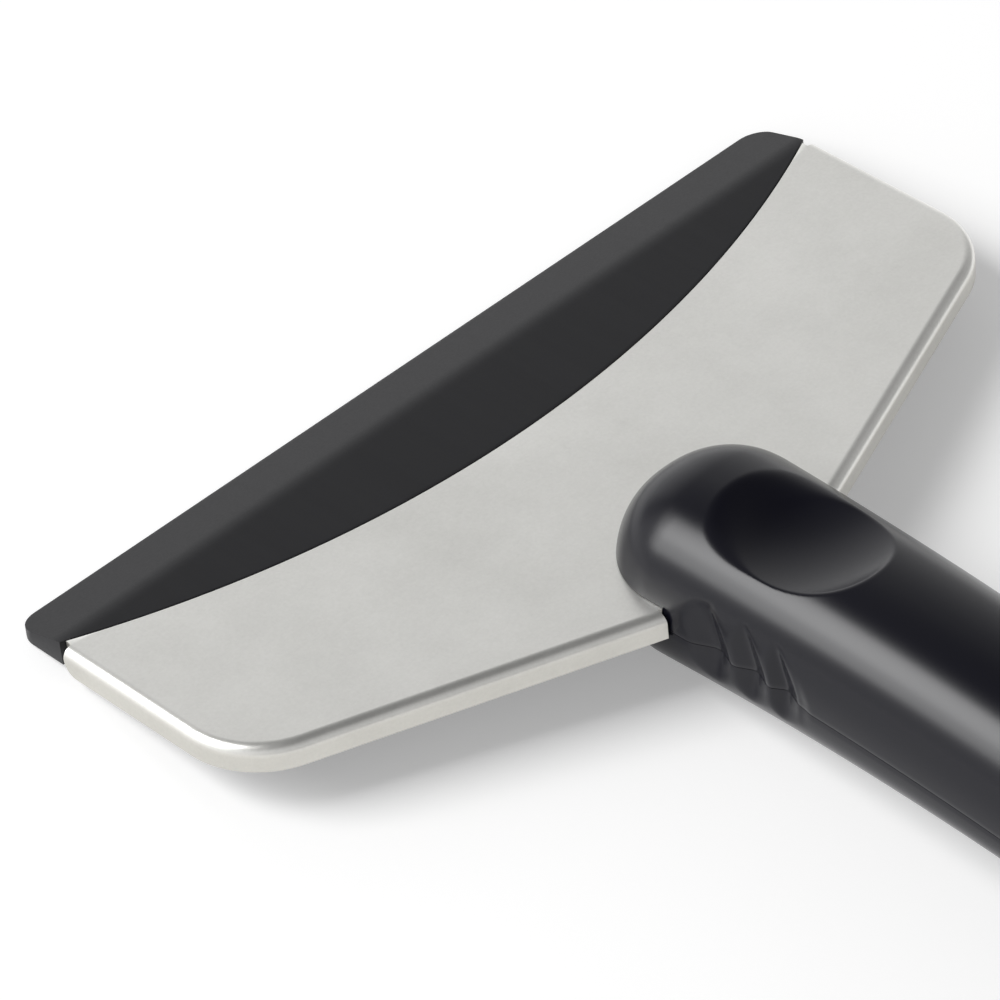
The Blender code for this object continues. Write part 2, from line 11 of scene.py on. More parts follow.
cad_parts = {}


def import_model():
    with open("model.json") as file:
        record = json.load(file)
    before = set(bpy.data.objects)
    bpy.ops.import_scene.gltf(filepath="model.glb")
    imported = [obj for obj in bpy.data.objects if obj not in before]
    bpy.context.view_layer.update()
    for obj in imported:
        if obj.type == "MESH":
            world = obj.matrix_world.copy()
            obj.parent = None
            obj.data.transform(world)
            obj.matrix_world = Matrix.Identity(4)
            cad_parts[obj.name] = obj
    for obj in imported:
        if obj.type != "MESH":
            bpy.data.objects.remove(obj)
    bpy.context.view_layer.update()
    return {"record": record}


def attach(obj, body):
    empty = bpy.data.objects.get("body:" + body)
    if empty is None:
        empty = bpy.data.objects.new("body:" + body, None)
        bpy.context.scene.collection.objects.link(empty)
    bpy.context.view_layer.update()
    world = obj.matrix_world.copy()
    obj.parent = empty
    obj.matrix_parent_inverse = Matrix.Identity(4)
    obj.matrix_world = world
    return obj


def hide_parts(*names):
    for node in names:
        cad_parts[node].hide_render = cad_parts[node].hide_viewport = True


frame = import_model()

MM = 0.001

# Head (the tool frame: +Y towards the blade edge, z = 0 on the cover's flat top)
FLAT_HALF_WIDTH = 54.8 * MM
BEND_RADIUS = 1.24 * MM
HEAD_THICKNESS = 3.09 * MM
SHEET = 0.8 * MM
REAR_CORNER_Y = -11.65 * MM
REAR_SWEEP = math.radians(21.3)
CORNER_RADIUS = 9.4 * MM
RIM_FRONT_Y = 13.97 * MM
RIM_INNER_X = 12.15 * MM
RIM_CORNER = 1.7 * MM  # radius of the flange's lower front corner
RIM_CORNER_START = 0.1  # turn in radians of the first row on that corner
SHEET_EDGE = 0.07 * MM  # broken edges of the sheet
SHEET_EDGE_ANGLE = math.radians(50.0)
ARC_CENTRE_Y = 133.86 * MM
ARC_RADIUS = 131.09 * MM
TONGUE_HALF_WIDTH = 6.5 * MM
TONGUE_END_Y = -46.0 * MM
BLADE_HALF_WIDTH = 55.35 * MM
BLADE_EDGE_Y = 22.63 * MM
BEVEL_START_Y = 15.34 * MM
BEVEL_SOFTNESS = 1.1 * MM  # half width of the rounded crease above the bevel
EDGE_THICKNESS = 1.06 * MM
BLADE_CORNER_RADIUS = 2.7 * MM
BLADE_GAP = 0.12 * MM  # between the blade and the cover's front arc
BLADE_EDGE_ROUND = 0.16 * MM
BLADE_EDGE_ANGLE = math.radians(40.0)

# Fineness of the head's outlines
CORNER_STEPS = 28
BEND_STEPS = 12
RIM_CORNER_STEPS = 8
FRONT_ARC_STEPS = 96
BLADE_COLUMNS = 120
BLADE_ROWS = 40
BLADE_CORNER_STEPS = 11

# Handle envelope
HALF_WIDTH = 11.93 * MM
PARTING_Z = -2.0 * MM
NOSE_Y = -15.0 * MM
NOSE_LENGTH = 10.9 * MM
NOSE_EXPONENT = 1.92
BUTT_Y = -177.0 * MM
BUTT_LENGTH = 13.0 * MM
WIDTH_TAPER = 0.0216
WIDTH_SWELL = 2.9 * MM
CREST_HEIGHT = 10.67 * MM
GRIP_TOP_HEIGHT = 10.31 * MM
CREST_FADE = 10.9 * MM
TOP_NOSE_RISE = 9.6 * MM
BELLY_HEIGHT = 8.9 * MM
BELLY_NOSE_RISE = 13.0 * MM
BELLY_NOSE_EXPONENT = 2.3
BELLY_TAPER = 0.0397
BELLY_SWELL = 6.0 * MM
SWELL_START_Y = -76.0 * MM
BEND_START_Y = -31.0 * MM
BEND_CURVATURE = 2.95
BEND_SLOPE_MAX = 0.25
TOP_EXPONENT = 2.22
BELLY_EXPONENT = 2.8
SEAM_DROP = 0.45 * MM  # how far the seam lies below the line that both heights are measured from
SEAM_GAP = 0.07 * MM
SEAM_ROUND = 0.06 * MM  # radius of both shells' edges at the seam
HEAD_GAP = 0.08 * MM  # between the head and the handle's slot

# Fineness of the handle
RING_POINTS = 150
NOSE_STATIONS = 48
BUTT_STATIONS = 40
THUMB_STEP = 0.2 * MM
THUMB_REGION_END_Y = -51.0 * MM
BODY_STEP = 1.0 * MM
FIRST_BODY_STEP = 0.8 * MM
NOSE_START = 0.02  # turn in radians of the first and last stations, so that no ring is a point
BUTT_START = 0.04
BUTT_STOP = 0.02
LEAST_REACH = 0.1 * MM

# Thumb rest and finger grips
THUMB_Y = -38.9 * MM
THUMB_HALF_WIDTH = 7.3 * MM
THUMB_HALF_LENGTH = 9.5 * MM
THUMB_DEPTH = 2.7 * MM
THUMB_RADIUS = 7.0 * MM
THUMB_CRISP = 0.12 * MM  # edge radius at the rear and the sides
THUMB_SOFT = 1.9 * MM  # edge radius at the front
GRIP_TROUGHS = ((-35.4 * MM, 1.15 * MM), (-40.3 * MM, 1.15 * MM), (-44.6 * MM, 1.1 * MM))
GRIP_START_Y = -31.6 * MM
GRIP_LEAD = 1.2 * MM  # start of the first bank ahead of its visible edge
GRIP_RAKE = 4.5 * MM
GRIP_LEAN = 1.2 * MM
GRIP_EXIT = 2.6 * MM
GRIP_REST = 0.25 * MM
GRIP_RUN_OUT = 3.0 * MM
GRIP_BELLY_FADE = 7.0 * MM  # how far below the seam the grips reach
GRIP_TOP_Z = 2.6 * MM
GRIP_ROUND = 0.32 * MM
GRIP_OUTSIDE = -2.0 * GRIP_ROUND  # a depth that leaves the side untouched
BANK_ROUND = 0.22  # share of a bank's length that is rounded at each end

# Studio, in the tool frame: brightness by elevation, and by bearing from +X, in degrees
SKY = ((0, 1.0), (15, 1.0), (25, 0.92), (33, 0.8), (42, 0.62), (50, 0.34), (60, 0.19), (90, 0.1))
WALLS = ((-180, 0.8), (-125, 0.5), (-55, 0.4), (-10, 0.35), (12, 0.4), (32, 0.75), (60, 1.0), (82, 1.0),
         (92, 0.45), (101, 0.45), (112, 0.95), (180, 0.85))
SOFT_BOX_DISTANCE = 2.2
SOFT_BOX_ROLL = math.radians(12.0)
# bearing, elevation, half angles across and up, radiance
SOFT_BOXES = ((146.0, 44.0, 16.0, 19.5, 5.2), (144.0, 51.0, 15.0, 11.5, 3.7))
FLOOR_HALF_SIZE = 3.0
FLOOR_TONE = 0.85
FLOOR_GLOW = 0.28

# Camera in the tool frame
CAMERA_PLACE = (-324.16 * MM, -371.05 * MM, 402.31 * MM)
CAMERA_AZIMUTH = math.radians(-40.4891)
CAMERA_ELEVATION = math.radians(39.7733)
CAMERA_ROLL = math.radians(-6.1196)
CAMERA_SENSOR = 36.0
CAMERA_LENS = 217.416
CAMERA_NEAR = 0.01

# Fasteners
SCREW_HEAD_RADIUS = 2.7 * MM
SCREW_HEAD_HEIGHT = 1.7 * MM
COUNTERBORE_RADIUS = 3.1 * MM
SEAT_THICKNESS = 1.8 * MM
HEAD_SCREWS_Y = (-24.0 * MM, -39.0 * MM)
HANDLE_SCREWS_Y = (-70.0 * MM, -112.0 * MM, -156.0 * MM)
HEAD_SEAT_DROP = 0.3 * MM  # of the head screws' seats below the plate
HANDLE_SEAT_DROP = 0.1 * MM
BORE_DEPTH = 16.0 * MM
BORE_SIDES = 64
SCREW_CLEARANCE = 0.2 * MM  # between a screw's head and its seat
SCREW_SEAT_SHARE = 0.97  # radius of the head's flat seat
SCREW_RIM = 0.1 * MM  # height of the chamfer round that seat
CROWN_SHARE = 0.75  # share of the head's height that its crown takes
CROWN_FLAT_SHARE = 0.05
CROWN_START, CROWN_STOP = 0.15, 1.1  # turns in radians
CROWN_POINTS = 9
SHANK_RADIUS = 1.3 * MM
SHANK_LENGTH = 5.0 * MM
SCREW_SIDES = 48
RECESS_MOUTH = (2.9 * MM, 0.62 * MM)  # length and width of one arm
RECESS_FLOOR = (0.9 * MM, 0.45 * MM)
RECESS_DEPTH = 1.15 * MM
RECESS_PROUD = 0.4 * MM  # how far the cutter stands out of the head

# Materials
STEEL_METALLIC = 0.85
STEEL_ROUGHNESS = (0.26, 0.35)
BLADE_GLOSS = 0.34
BLADE_ROUGHNESS = (0.36, 0.5)
HANDLE_GLOSS = 0.41
HANDLE_ROUGHNESS = (0.23, 0.29)
SCREW_ROUGHNESS = (0.28, 0.42)
STEEL_TONES = ((0.45, (0.85, 0.845, 0.81)), (1.0, (0.99, 0.985, 0.95)))
# Painted shade: the steel's colour by how far a face turns from up, darker on the sideways faces of the
# rim's bend and flange.
SIDEWAYS_SHADE_TONES = ((0.0, (0.64, 0.63, 0.605)), (0.3, (0.72, 0.71, 0.69)), (0.6, (1.0, 1.0, 1.0)))
BLADE_TONES = ((0.3, (0.0045, 0.0045, 0.0062)), (0.75, (0.0062, 0.0062, 0.008)))
HANDLE_TONES = ((0.3, (0.0034, 0.0034, 0.0072)), (0.75, (0.0046, 0.0046, 0.0088)))
SCREW_TONES = ((0.3, (0.46, 0.47, 0.5)), (0.8, (0.64, 0.65, 0.66)))
GRAIN_HEIGHT = 0.02 * MM
STEEL_GRAIN_HEIGHT = 0.03 * MM

SHARP_ANGLE = math.radians(32.0)


# ---------------------------------------------------------------- placement

def tool_matrix():
    """Where the tool frame lies in the row frame, from the scraping edge's mount."""
    mount = frame["record"]["mounts"][0]
    along = Vector(mount["axis"])
    turn = Matrix.Rotation(math.atan2(along.z, along.y), 4, "X")
    edge = Vector((0.0, BLADE_EDGE_Y, 0.5 * EDGE_THICKNESS - HEAD_THICKNESS))
    return Matrix.Translation(Vector(mount["pos_m"]) - turn @ edge) @ turn


TOOL = tool_matrix()


def piece(name, mesh, mat, nodes):
    """Places a mesh that was made in the tool frame and lets it stand for CAD nodes."""
    mesh.transform(TOOL)
    mesh.shade_smooth()
    mesh.set_sharp_from_angle(angle=SHARP_ANGLE)
    made = helper(carved(mesh, [], name, even_shading), name)
    made.data.materials.clear()
    made.data.materials.append(mat)
    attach(made, "root")
    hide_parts(*nodes)


def mesh_of(bm, name):
    """The bmesh as a mesh with its normals outwards."""
    bmesh.ops.recalc_face_normals(bm, faces=bm.faces[:])
    mesh = bpy.data.meshes.new(name)
    bm.to_mesh(mesh)
    bm.free()
    return mesh


def helper(mesh, name):
    """An object in the scene that shows the mesh."""
    made = bpy.data.objects.new(name, mesh)
    bpy.context.scene.collection.objects.link(made)
    return made


def even_shading(body):
    """Normals weighted by face area, so that flat faces look flat up to their rounded edges."""
    shading = body.modifiers.new("shading", "WEIGHTED_NORMAL")
    shading.keep_sharp = True


def carved(mesh, steps, name, finish=None):
    """The mesh after Boolean steps of (operation, mesh). finish may add more modifiers."""
    body = helper(mesh, name)
    tools = []
    for operation, other in steps:
        tool = helper(other, f"{name}_tool_{len(tools)}")
        tools.append(tool)
        cut = body.modifiers.new("cut", "BOOLEAN")
        cut.operation = operation
        cut.solver = "EXACT"
        cut.object = tool
    if finish:
        finish(body)
    bpy.context.view_layer.update()
    graph = bpy.context.evaluated_depsgraph_get()
    made = bpy.data.meshes.new_from_object(body.evaluated_get(graph))
    for old in [body, *tools]:
        bpy.data.objects.remove(old)
    return made


def prism(outline, z_low, z_high):
    """An upright solid over an outline of (x, y) points."""
    bm = bmesh.new()
    base = bm.faces.new([bm.verts.new((x, y, z_low)) for x, y in outline])
    grown = bmesh.ops.extrude_face_region(bm, geom=[base])
    raised = [item for item in grown["geom"] if isinstance(item, bmesh.types.BMVert)]
    bmesh.ops.translate(bm, verts=raised, vec=(0.0, 0.0, z_high - z_low))
    return mesh_of(bm, "prism")


def rod(radius, z_low, z_high, place):
    """A round rod along the Z of a placement."""
    bm = bmesh.new()
    middle = place @ Matrix.Translation((0.0, 0.0, 0.5 * (z_low + z_high)))
    sizes = {"radius1": radius, "radius2": radius, "depth": z_high - z_low}
    bmesh.ops.create_cone(bm, cap_ends=True, segments=BORE_SIDES, matrix=middle, **sizes)
    return mesh_of(bm, "rod")


# ---------------------------------------------------------------- head outline

def fan(centre, radius, start, stop, steps):
    """Points along an arc."""
    angles = np.linspace(start, stop, steps + 1)
    return [(centre[0] + radius * math.cos(a), centre[1] + radius * math.sin(a)) for a in angles]


def rear_edge_y(x, grow=0.0):
    """The cover's swept rear edge, moved outwards by grow."""
    return REAR_CORNER_Y - (FLAT_HALF_WIDTH - x) * math.tan(REAR_SWEEP) - grow / math.cos(REAR_SWEEP)


def side_chain(front_y, inner_x, grow=0.0):
    """Outline of the right half from the front, round the corner and along the rear edge."""
    drop = CORNER_RADIUS * (1.0 - math.sin(REAR_SWEEP)) / math.cos(REAR_SWEEP)
    centre = (FLAT_HALF_WIDTH - CORNER_RADIUS, REAR_CORNER_Y + drop)
    corner = fan(centre, CORNER_RADIUS + grow, 0.0, REAR_SWEEP - math.pi / 2, CORNER_STEPS)
    return [(FLAT_HALF_WIDTH + grow, front_y), *corner, (inner_x, rear_edge_y(inner_x, grow))]


def tongue_chain(grow=0.0):
    """Outline of the tongue's right half, behind the rear edge."""
    half = TONGUE_HALF_WIDTH + grow
    return [(half, rear_edge_y(half, grow)), (half, TONGUE_END_Y - grow)]


def mirrored(chain):
    """A whole outline from its right half."""
    return chain + [(-x, y) for x, y in reversed(chain)]


def arc_y(x, radius=ARC_RADIUS):
    """The cover's concave front edge."""
    return ARC_CENTRE_Y - np.sqrt(radius**2 - x**2)


# ---------------------------------------------------------------- cover and blade

def cover_mesh():
    """Stainless sheet: flat top, rolled rim round the sides and rear edges, and a tongue."""
    bm = bmesh.new()
    levels = [(BEND_RADIUS * math.sin(a), BEND_RADIUS * (1.0 - math.cos(a)))
              for a in np.linspace(0.0, 0.5 * math.pi, BEND_STEPS + 1)]
    levels += [(BEND_RADIUS, HEAD_THICKNESS - RIM_CORNER)]
    levels += [(BEND_RADIUS, HEAD_THICKNESS - RIM_CORNER * (1.0 - math.sin(a)))
               for a in np.linspace(RIM_CORNER_START, 0.5 * math.pi, RIM_CORNER_STEPS + 1)]
    chains = []
    for side in (1, -1):
        rows = []
        for out, down in levels:
            into_corner = max(0.0, down - (HEAD_THICKNESS - RIM_CORNER))
            back = RIM_CORNER - math.sqrt(max(0.0, RIM_CORNER**2 - into_corner**2))
            chain = side_chain(RIM_FRONT_Y - back, RIM_INNER_X, out)
            rows.append([bm.verts.new((side * x, y, -down)) for x, y in chain])
        chains.append(rows[0])
        for upper, lower in zip(rows, rows[1:]):
            for i in range(len(upper) - 1):
                bm.faces.new((upper[i], upper[i + 1], lower[i + 1], lower[i]))
    right, left = chains
    xs = np.linspace(-FLAT_HALF_WIDTH, FLAT_HALF_WIDTH, FRONT_ARC_STEPS + 1)
    arc = [bm.verts.new((x, arc_y(x), 0.0)) for x in xs]
    tongue = [bm.verts.new((x, y, 0.0)) for x, y in mirrored(tongue_chain())]
    bm.faces.new(right + tongue + left[::-1] + arc)
    top = max(bm.faces, key=lambda face: len(face.verts))
    bmesh.ops.triangulate(bm, faces=[top])
    mesh = mesh_of(bm, "cover_skin")

    def sheet(body):
        skin = body.modifiers.new("sheet", "SOLIDIFY")
        skin.thickness = SHEET
        skin.offset = -1.0
        skin.use_even_offset = True
        soft = body.modifiers.new("soft", "BEVEL")
        soft.width = SHEET_EDGE
        soft.segments = 2
        soft.limit_method = "ANGLE"
        soft.angle_limit = SHEET_EDGE_ANGLE

    return carved(mesh, [], "cover", sheet)


def blade_top_z(y):
    """The blade's top: flat, a rounded crease, then the straight bevel."""
    slope = (HEAD_THICKNESS - EDGE_THICKNESS) / (BLADE_EDGE_Y - BEVEL_START_Y)
    ahead = y - BEVEL_START_Y
    if ahead <= -BEVEL_SOFTNESS:
        return 0.0
    if ahead >= BEVEL_SOFTNESS:
        return -slope * ahead
    return -slope * (ahead + BEVEL_SOFTNESS) ** 2 / (4.0 * BEVEL_SOFTNESS)


def blade_mesh():
    """Bevelled blade in front of the cover, joined to the plate that runs back under it."""
    corner_x = BLADE_HALF_WIDTH - BLADE_CORNER_RADIUS
    corner_y = BLADE_EDGE_Y - BLADE_CORNER_RADIUS
    turns = np.linspace(0.0, 0.5 * math.pi, BLADE_CORNER_STEPS + 1)
    ends = corner_x + BLADE_CORNER_RADIUS * np.sin(turns)
    straight = np.linspace(-corner_x, corner_x, BLADE_COLUMNS + 1)[1:-1]
    xs = np.concatenate([-ends[::-1], straight, ends])
    radius = ARC_RADIUS - BLADE_GAP
    shares = np.linspace(0.0, 1.0, BLADE_ROWS + 1)
    bm = bmesh.new()
    columns = []
    for x in xs:
        beyond = max(0.0, abs(x) - corner_x)
        front = corner_y + math.sqrt(max(0.0, BLADE_CORNER_RADIUS**2 - beyond**2))
        rear = arc_y(x, radius)
        ys = rear + (front - rear) * shares
        columns.append([bm.verts.new((x, y, blade_top_z(y))) for y in ys])
    for first, second in zip(columns, columns[1:]):
        for i in range(len(shares) - 1):
            bm.faces.new((first[i], second[i], second[i + 1], first[i + 1]))
    rim = [e for e in bm.edges if len(e.link_faces) == 1]
    grown = bmesh.ops.extrude_edge_only(bm, edges=rim)
    lowered = [v for v in grown["geom"] if isinstance(v, bmesh.types.BMVert)]
    for v in lowered:
        v.co.z = -HEAD_THICKNESS
    open_edges = [e for e in bm.edges if len(e.link_faces) == 1]
    bmesh.ops.contextual_create(bm, geom=open_edges)
    front_part = mesh_of(bm, "blade_front")
    chain = side_chain(BEVEL_START_Y - BEVEL_SOFTNESS, TONGUE_HALF_WIDTH) + tongue_chain()[1:]
    plate = prism(mirrored(chain), -HEAD_THICKNESS, -SHEET - HEAD_GAP)

    def soft(body):
        edge = body.modifiers.new("soft", "BEVEL")
        edge.width = BLADE_EDGE_ROUND
        edge.segments = 3
        edge.limit_method = "ANGLE"
        edge.angle_limit = BLADE_EDGE_ANGLE

    return carved(front_part, [("UNION", plate)], "blade", soft)


# ---------------------------------------------------------------- handle envelope

def seam_z(y):
    """The line that both shells' heights are measured from: level, bent, then straight and sloping."""
    back = np.maximum(0.0, BEND_START_Y - y)
    bent = np.minimum(back, BEND_SLOPE_MAX / BEND_CURVATURE)
    return PARTING_Z - 0.5 * BEND_CURVATURE * bent**2 - BEND_SLOPE_MAX * (back - bent)


def seam_slope(y):
    """How much seam_z falls for each metre towards the butt."""
    return min(BEND_SLOPE_MAX, BEND_CURVATURE * max(0.0, BEND_START_Y - y))


def round_end(distance, length, power=2.0):
    """A factor that rounds an end: 0 at the tip and 1 from length onwards."""
    share = 1.0 - np.clip(distance, 0.0, length) / length
    return (1.0 - share**power) ** (1.0 / power)


def swell(y):
    """From 0 at the slim part of the handle to 1 at the butt."""
    share = np.maximum(0.0, SWELL_START_Y - y) / (SWELL_START_Y - BUTT_Y)
    return 0.5 * (1.0 - np.cos(math.pi * share))


def behind_nose(y):
    """Distance behind the rounded nose."""
    return np.maximum(0.0, NOSE_Y - NOSE_LENGTH - y)


def full_width(y):
    """Half width without the round ends."""
    return HALF_WIDTH - WIDTH_TAPER * behind_nose(y) + WIDTH_SWELL * swell(y)


def half_width(y):
    """Half width with the round ends."""
    nose = round_end(NOSE_Y - y, NOSE_LENGTH, NOSE_EXPONENT)
    return full_width(y) * nose * round_end(y - BUTT_Y, BUTT_LENGTH)


def top_height(y):
    """Height of the crest over seam_z."""
    behind = np.maximum(0.0, NOSE_Y - TOP_NOSE_RISE - y)
    crest = GRIP_TOP_HEIGHT + (CREST_HEIGHT - GRIP_TOP_HEIGHT) * np.exp(-((behind / CREST_FADE) ** 2))
    return crest * round_end(NOSE_Y - y, TOP_NOSE_RISE) * round_end(y - BUTT_Y, BUTT_LENGTH)


def belly_height(y):
    """Depth of the belly under seam_z."""
    depth = BELLY_HEIGHT - BELLY_TAPER * behind_nose(y) + BELLY_SWELL * swell(y)
    front = round_end(NOSE_Y - y, BELLY_NOSE_RISE, BELLY_NOSE_EXPONENT)
    return depth * front * round_end(y - BUTT_Y, BUTT_LENGTH)


def soft_min(a, b, k):
    """The smaller of two surfaces, with the edge between them rounded over k."""
    share = np.clip(0.5 + 0.5 * (b - a) / k, 0.0, 1.0)
    return b + (a - b) * share - k * share * (1.0 - share)


def ease(t):
    """A smooth step from 0 to 1."""
    t = np.clip(t, 0.0, 1.0)
    return t * t * (3.0 - 2.0 * t)


def bank(t):
    """A straight ramp from 0 to 1 whose two ends are rounded over BANK_ROUND of its length."""
    t = np.clip(t, 0.0, 1.0)
    curve = 1.0 / (2.0 * BANK_ROUND * (1.0 - BANK_ROUND))
    middle = (t - 0.5 * BANK_ROUND) / (1.0 - BANK_ROUND)
    late = np.where(t > 1.0 - BANK_ROUND, 1.0 - curve * (1.0 - t) ** 2, middle)
    return np.where(t < BANK_ROUND, curve * t * t, late)


def grip_depth(y, z):
    """How deep the finger grips cut into the side at (y, z)."""
    raised = np.clip((z - PARTING_Z) / (GRIP_TOP_Z - PARTING_Z), 0.0, 1.0)
    depth = np.full_like(y, GRIP_OUTSIDE)
    entry_y = GRIP_START_Y + GRIP_RAKE * raised + GRIP_LEAD
    entry_depth = GRIP_OUTSIDE
    for trough_y, trough_depth in GRIP_TROUGHS:
        bottom = trough_y + GRIP_LEAN * raised
        into = (entry_y - y) / (entry_y - bottom)
        falling = entry_depth + (trough_depth - entry_depth) * bank(into)
        out = (bottom - y) / GRIP_EXIT
        rising = trough_depth + (GRIP_REST - trough_depth) * bank(out)
        depth = np.where(into > 0.0, np.where(out > 0.0, rising, falling), depth)
        entry_y = bottom - GRIP_EXIT
        entry_depth = GRIP_REST
    fade = ease((entry_y - y) / GRIP_RUN_OUT)
    depth = np.where(y < entry_y, GRIP_REST + (GRIP_OUTSIDE - GRIP_REST) * fade, depth)
    below = ease((PARTING_Z - SEAM_DROP - z) / GRIP_BELLY_FADE)
    return depth + (GRIP_OUTSIDE - depth) * below


def thumb_surface(x, y):
    """Height of the thumb rest's dish, an ellipsoid whose rim is the stated oval."""
    crown = float(seam_z(THUMB_Y) + top_height(THUMB_Y))
    centre = crown - THUMB_DEPTH + THUMB_RADIUS
    share = THUMB_HALF_WIDTH / float(half_width(THUMB_Y))
    beside = (1.0 - share**TOP_EXPONENT) ** (1.0 / TOP_EXPONENT)
    side_rim = float(seam_z(THUMB_Y)) + float(top_height(THUMB_Y)) * beside
    across = THUMB_HALF_WIDTH / math.sqrt(1.0 - ((centre - side_rim) / THUMB_RADIUS) ** 2)
    along = THUMB_HALF_LENGTH / math.sqrt(1.0 - ((centre - crown) / THUMB_RADIUS) ** 2)
    inside = 1.0 - (x / across) ** 2 - ((y - THUMB_Y) / along) ** 2
    return centre - THUMB_RADIUS * np.sqrt(np.maximum(0.0, inside))


def handle_stations():
    """Places along the handle: close together at both ends and under the thumb."""
    nose_turns = np.linspace(NOSE_START, 0.5 * math.pi, NOSE_STATIONS)
    nose = NOSE_Y - NOSE_LENGTH * (1.0 - np.cos(nose_turns))
    thumb = np.arange(nose[-1] - THUMB_STEP, THUMB_REGION_END_Y, -THUMB_STEP)
    body = np.arange(thumb[-1] - FIRST_BODY_STEP, BUTT_Y + BUTT_LENGTH, -BODY_STEP)
    butt_turns = np.linspace(BUTT_START, 0.5 * math.pi - BUTT_STOP, BUTT_STATIONS)
    butt = BUTT_Y + BUTT_LENGTH * (1.0 - np.sin(butt_turns))
    return np.concatenate([nose, thumb, body, butt])


def shell_mesh(side):
    """One half of the handle as a closed body, its rounded edge at the seam."""
    ys = handle_stations()
    angles = np.linspace(0.0, math.pi, RING_POINTS)
    exponent = TOP_EXPONENT if side > 0 else BELLY_EXPONENT
    width = half_width(ys)[:, None]
    drop = SEAM_DROP * width / full_width(ys)[:, None]
    height = (top_height if side > 0 else belly_height)(ys)[:, None] + side * drop
    cosine = np.cos(angles)[None, :]
    sine = np.maximum(np.sin(angles), 0.0)[None, :]
    x = np.sign(cosine) * np.abs(cosine) ** (2.0 / exponent) * width
    rise = sine ** (2.0 / exponent) * height
    y = np.repeat(ys[:, None], len(angles), axis=1)
    z = seam_z(y) - drop + side * rise
    reach = full_width(y) - grip_depth(y, z)
    gripped = soft_min(np.abs(x), np.maximum(reach, LEAST_REACH), GRIP_ROUND)
    x = np.sign(x) * np.minimum(np.abs(x), gripped)
    if side > 0:
        softness = THUMB_CRISP + (THUMB_SOFT - THUMB_CRISP) * ease((y - THUMB_Y) / THUMB_HALF_LENGTH)
        z = np.minimum(z, soft_min(z, thumb_surface(x, y), softness))
    into_edge = np.maximum(0.0, SEAM_ROUND - rise)
    inset = SEAM_ROUND - np.sqrt(np.maximum(0.0, SEAM_ROUND**2 - into_edge**2))
    x = np.sign(x) * np.maximum(np.abs(x) - inset, 0.0)
    z = z + side * 0.5 * SEAM_GAP
    bm = bmesh.new()
    rows = [[bm.verts.new(p) for p in zip(x[i], y[i], z[i])] for i in range(len(ys))]
    for first, second in zip(rows, rows[1:]):
        for j in range(len(angles) - 1):
            bm.faces.new((first[j], first[j + 1], second[j + 1], second[j]))
        bm.faces.new((first[-1], first[0], second[0], second[-1]))
    bm.faces.new(rows[0])
    bm.faces.new(rows[-1])
    return mesh_of(bm, "shell")


def head_slot():
    """The space that the head takes in both shells."""
    chain = side_chain(BLADE_EDGE_Y, TONGUE_HALF_WIDTH + HEAD_GAP, HEAD_GAP)
    outline = mirrored(chain + [(TONGUE_HALF_WIDTH + HEAD_GAP, TONGUE_END_Y - HEAD_GAP)])
    return prism(outline, -HEAD_THICKNESS - HEAD_GAP, HEAD_GAP)


def station_frame(y):
    """A frame on the seam at y, with its Z square to the seam."""
    turn = Matrix.Rotation(math.atan(seam_slope(y)), 4, "X")
    return Matrix.Translation((0.0, y, float(seam_z(y)))) @ turn


def screw_places():
    """For each screw: placement and the height of its seat along the placement's Z."""
    plate = -HEAD_THICKNESS - HEAD_SEAT_DROP
    places = [(Matrix.Translation((0.0, y, plate)), -SEAT_THICKNESS) for y in HEAD_SCREWS_Y]
    return places + [(station_frame(y), -SEAT_THICKNESS - HANDLE_SEAT_DROP) for y in HANDLE_SCREWS_Y]


def counterbores():
    """Boolean steps that open the lower shell for the screws' heads."""
    bores = [rod(COUNTERBORE_RADIUS, -BORE_DEPTH, seat, place) for place, seat in screw_places()]
    return [("DIFFERENCE", bore) for bore in bores]


# ---------------------------------------------------------------- screws

def screw_mesh(place, seat):
    """The visible head of a pan head screw with a tapered cross recess, and a plain shank."""
    top = seat - SCREW_CLEARANCE
    low = top - SCREW_HEAD_HEIGHT
    r = SCREW_HEAD_RADIUS
    end = top + SHANK_LENGTH
    profile = [(0.0, end), (SHANK_RADIUS, end), (SHANK_RADIUS, top)]
    profile += [(SCREW_SEAT_SHARE * r, top), (r, top - SCREW_RIM)]
    profile += [(r * math.cos(a), low + CROWN_SHARE * SCREW_HEAD_HEIGHT * (1.0 - math.sin(a)))
                for a in np.linspace(CROWN_START, CROWN_STOP, CROWN_POINTS)]
    profile += [(0.0, low + CROWN_FLAT_SHARE * SCREW_HEAD_HEIGHT)]
    bm = bmesh.new()
    verts = [bm.verts.new((x, 0.0, z)) for x, z in profile]
    edges = [bm.edges.new(pair) for pair in zip(verts, verts[1:])]
    around = {"axis": (0, 0, 1), "cent": (0, 0, 0), "dvec": (0, 0, 0)}
    bmesh.ops.spin(bm, geom=verts + edges, angle=2.0 * math.pi, steps=SCREW_SIDES, **around)
    bmesh.ops.remove_doubles(bm, verts=bm.verts[:], dist=1e-6)
    body = mesh_of(bm, "screw")
    body.transform(place)
    recess = []
    for turn in (0.0, 0.5 * math.pi):
        bar = bmesh.new()
        bmesh.ops.create_cube(bar, size=1.0)
        for v in bar.verts:
            deep = v.co.z > 0.0
            length, width = RECESS_FLOOR if deep else RECESS_MOUTH
            v.co.x *= length
            v.co.y *= width
            v.co.z = low + (RECESS_DEPTH if deep else -RECESS_PROUD)
        arm = mesh_of(bar, "arm")
        arm.transform(place @ Matrix.Rotation(turn, 4, "Z"))
        recess.append(("DIFFERENCE", arm))
    return carved(body, recess, "screw_body")


# ---------------------------------------------------------------- materials

def new_material(name):
    """A new material with its node tree and its shader."""
    made = bpy.data.materials.new(name)
    made.use_nodes = True
    tree = made.node_tree
    return made, tree, tree.nodes["Principled BSDF"]


